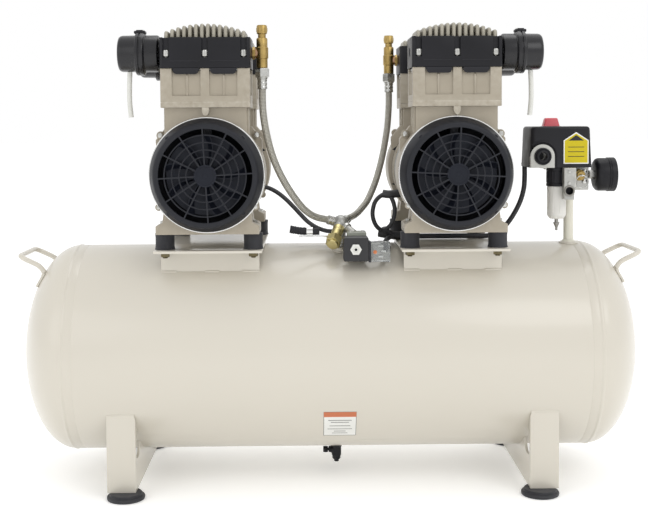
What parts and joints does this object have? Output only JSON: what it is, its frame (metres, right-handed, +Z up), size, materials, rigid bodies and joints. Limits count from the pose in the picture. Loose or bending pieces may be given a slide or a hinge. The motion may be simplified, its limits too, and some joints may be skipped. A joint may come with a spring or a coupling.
{
  "type": "twin stack air compressor",
  "caption": "Horizontal air receiver on plate legs carrying twin oil-free piston pumps with front fan grilles, braided discharge hoses, pressure switch, gauge and filter.",
  "frame": {"origin": "on the floor under the middle of the tank", "axes": "+X along the tank towards the pressure switch, -Y the front with the air outlet, +Z up"},
  "size_m": [1, 0.338, 0.723],
  "materials": {
    "tank_paint": "gloss powder coat",
    "cast_paint": "satin metallic paint on a rough casting",
    "fin_metal": "satin cast metal",
    "black_plastic": "semi-gloss moulded",
    "black_rubber": "matt",
    "bright_steel": "zinc plated",
    "braid": "braided wire",
    "brass": "machined",
    "winding": "varnished copper and laminations",
    "grey_plastic": "moulded",
    "red_plastic": "moulded",
    "clear_plastic": "clear moulded",
    "white_plastic": "soft moulded",
    "cast_metal": "die cast",
    "cable_jacket": "satin jacket"
  },
  "bodies": {
    "frame": {"tank_shell": "tank_paint", "tank_end_caps": "tank_paint", "carry_handles": "tank_paint", "tank_legs": "tank_paint", "foot_pads": "black_rubber", "pump_saddles": "tank_paint", "drain_valve": "black_plastic", "rubber_mounts": "black_rubber", "mounting_bolts": "bright_steel", "shaft_bearings": "bright_steel", "outlet_tees": "brass", "hose_fittings": "bright_steel", "left_discharge_hose": "braid", "right_discharge_hose": "braid", "left_filter_tail": "white_plastic", "right_filter_tail": "white_plastic", "inlet_cross": "bright_steel", "inlet_check_valve": "brass", "solenoid_valve": "cast_metal", "solenoid_coil": "black_plastic", "solenoid_connector": "clear_plastic", "riser_pipe": "tank_paint", "control_manifold": "cast_metal", "switch_base": "grey_plastic", "switch_cover": "black_plastic", "gauge_body": "black_plastic", "filter_head": "black_plastic", "filter_bowl": "clear_plastic", "safety_valve": "brass", "switch_cable": "cable_jacket", "left_motor_cable": "cable_jacket", "right_motor_cable": "cable_jacket", "right_loop_cable": "cable_jacket", "left_crankcases": "cast_paint", "left_motor_stator": "winding", "left_cylinders": "cast_paint", "left_cylinder_heads": "fin_metal", "left_head_shrouds": "black_plastic", "left_fan_covers": "black_plastic", "left_intake_filters": "black_plastic", "right_crankcases": "cast_paint", "right_motor_stator": "winding", "right_cylinders": "cast_paint", "right_cylinder_heads": "fin_metal", "right_head_shrouds": "black_plastic", "right_fan_covers": "black_plastic", "right_intake_filters": "black_plastic"},
    "drain_knob": {"drain_knob": "black_plastic"},
    "switch_knob": {"switch_knob": "red_plastic"},
    "gauge_needle": {"gauge_needle": "red_plastic"},
    "bowl_drain": {"bowl_drain": "bright_steel"},
    "safety_ring": {"safety_ring": "bright_steel"},
    "left_rotor": {"left_rotor_shaft": "bright_steel", "left_cooling_fans": "black_plastic"},
    "left_front_piston": {"left_front_piston": "cast_metal"},
    "left_rear_piston": {"left_rear_piston": "cast_metal"},
    "right_rotor": {"right_rotor_shaft": "bright_steel", "right_cooling_fans": "black_plastic"},
    "right_front_piston": {"right_front_piston": "cast_metal"},
    "right_rear_piston": {"right_rear_piston": "cast_metal"}
  },
  "joints": [
    {"name": "left_rotor_spin", "type": "hinge", "parent": "frame", "child": "left_rotor", "pos_m": [-0.189, 0, 0.495], "axis": [0, 1, 0], "continuous": true},
    {"name": "left_front_stroke", "type": "slide", "parent": "frame", "child": "left_front_piston", "axis": [0, 0, 1], "range_m": [-0.008, 0.008]},
    {"name": "left_rear_stroke", "type": "slide", "parent": "frame", "child": "left_rear_piston", "axis": [0, 0, 1], "range_m": [-0.008, 0.008]},
    {"name": "right_rotor_spin", "type": "hinge", "parent": "frame", "child": "right_rotor", "pos_m": [0.189, 0, 0.495], "axis": [0, 1, 0], "continuous": true},
    {"name": "right_front_stroke", "type": "slide", "parent": "frame", "child": "right_front_piston", "axis": [0, 0, 1], "range_m": [-0.008, 0.008]},
    {"name": "right_rear_stroke", "type": "slide", "parent": "frame", "child": "right_rear_piston", "axis": [0, 0, 1], "range_m": [-0.008, 0.008]},
    {"name": "switch_pull", "type": "slide", "parent": "frame", "child": "switch_knob", "axis": [0, 0, 1], "range_m": [0, 0.006]},
    {"name": "gauge_sweep", "type": "hinge", "parent": "frame", "child": "gauge_needle", "pos_m": [0.452, -0.03, 0.487], "axis": [-1, 0, 0], "range_deg": [0, 270], "stiffness_Nm_per_rad": 0.001},
    {"name": "drain_turn", "type": "hinge", "parent": "frame", "child": "drain_knob", "pos_m": [0, 0, 0.032], "axis": [1, 0, 0], "range_deg": [0, 90]},
    {"name": "bowl_drain_push", "type": "slide", "parent": "frame", "child": "bowl_drain", "axis": [0, 0, 1], "range_m": [0, 0.003], "stiffness_N_per_m": 300},
    {"name": "safety_pull", "type": "slide", "parent": "frame", "child": "safety_ring", "axis": [0, -1, 0], "range_m": [0, 0.004], "stiffness_N_per_m": 800}
  ],
  "couplings": [
    {"joint": "left_rear_stroke", "follows": "left_front_stroke", "ratio": -1},
    {"joint": "right_rear_stroke", "follows": "right_front_stroke", "ratio": -1}
  ]
}
